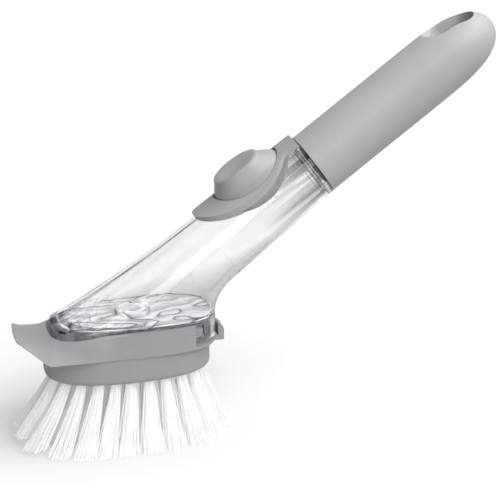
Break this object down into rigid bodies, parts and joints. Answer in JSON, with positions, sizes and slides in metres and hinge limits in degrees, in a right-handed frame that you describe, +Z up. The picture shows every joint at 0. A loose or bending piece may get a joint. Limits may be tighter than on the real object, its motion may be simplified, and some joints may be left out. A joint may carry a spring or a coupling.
{
  "type": "dish wand",
  "caption": "Soap-dispensing dish wand: clear tapered reservoir with a push button, screw-on handle with a hang hole, and a clip-on bristle head with a scraper lip.",
  "frame": {"origin": "on the floor under the middle of the object's bounding box, with the bristle tips standing on the floor", "axes": "+Z up, +X from the brush and its scraper lip to the end of the handle, +Y across the wand, its shortest extent, and the wand is mirrored left to right about the XZ plane"},
  "size_m": [0.2355, 0.0606, 0.1954],
  "materials": {
    "grey_plastic": "satin",
    "clear_plastic": "clear, polished",
    "white_plastic": "gloss",
    "silicone": "soft translucent",
    "bristle_white": "nylon filament",
    "staple_steel": "drawn wire"
  },
  "bodies": {
    "wand": {"reservoir": "clear_plastic", "reservoir_base": "clear_plastic", "button_bezel": "grey_plastic", "pump_diaphragm": "silicone", "outlet_valve": "silicone", "valve_retainer": "white_plastic", "outlet_seal": "silicone"},
    "seal": {"neck_seal": "silicone"},
    "handle": {"handle_shell": "grey_plastic", "neck_cap": "grey_plastic"},
    "button": {"pump_button": "grey_plastic"},
    "head": {"head_shell": "grey_plastic", "bristle_block": "grey_plastic", "tuft_anchors": "staple_steel", "bristles_outer": "bristle_white", "bristles_inner": "bristle_white", "bristles_centre": "bristle_white"},
    "tab": {"release_tab": "grey_plastic"}
  },
  "joints": [
    {"name": "handle_lift", "type": "slide", "parent": "wand", "child": "seal", "axis": [0.8141, 0, 0.5807], "range_m": [0, 0.012]},
    {"name": "handle_turn", "type": "hinge", "parent": "seal", "child": "handle", "pos_m": [0.0292, 0, 0.1267], "axis": [0.8141, 0, 0.5807], "range_deg": [0, 1080]},
    {"name": "button_press", "type": "slide", "parent": "wand", "child": "button", "axis": [0.5807, 0, -0.8141], "range_m": [0, 0.003], "stiffness_N_per_m": 1200, "deforming": ["pump_diaphragm"]},
    {"name": "head_release", "type": "slide", "parent": "wand", "child": "head", "axis": [0, 0, -1], "range_m": [0, 0.045]},
    {"name": "tab_press", "type": "hinge", "parent": "head", "child": "tab", "pos_m": [-0.021, 0, 0.047], "axis": [0, -1, 0], "range_deg": [0, 15], "stiffness_Nm_per_rad": 0.05}
  ],
  "couplings": [
    {"joint": "handle_lift", "follows": "handle_turn", "m_per_rad": 0.00063662}
  ]
}
